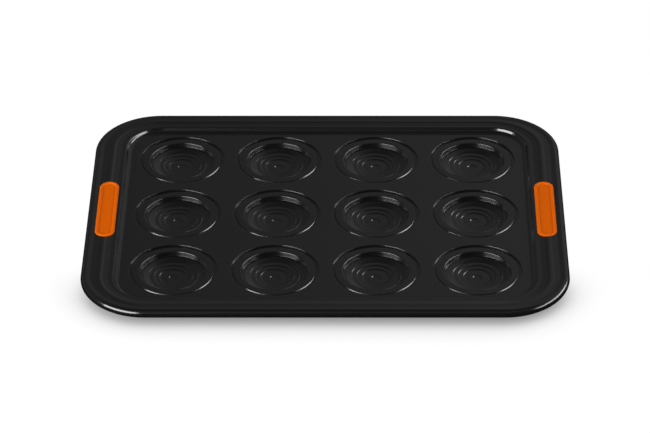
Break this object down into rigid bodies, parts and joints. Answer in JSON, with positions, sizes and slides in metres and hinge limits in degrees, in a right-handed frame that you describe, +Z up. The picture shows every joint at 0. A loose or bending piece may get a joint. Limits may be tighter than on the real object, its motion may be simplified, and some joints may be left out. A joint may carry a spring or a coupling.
{
  "type": "muffin pan",
  "caption": "Shallow rectangular bun tray of coated pressed steel with stepped round cups, a wired rolled rim and soft orange grips set into the short sides.",
  "frame": {"origin": "middle of the tray, in the plane of the undersides of the cup floors that it stands on", "axes": "+X along the long side towards the right grip, +Y towards the back long side, +Z up"},
  "size_m": [0.3998, 0.2988, 0.0141],
  "materials": {
    "coated_steel": "satin black non-stick coating on pressed carbon steel",
    "steel_wire": "drawn steel wire, hidden in the rolled edge",
    "orange_silicone": "satin moulded silicone"
  },
  "bodies": {
    "root": {"pressed_tray": "coated_steel", "rim_wire": "steel_wire", "left_grip": "orange_silicone", "right_grip": "orange_silicone"}
  },
  "joints": []
}
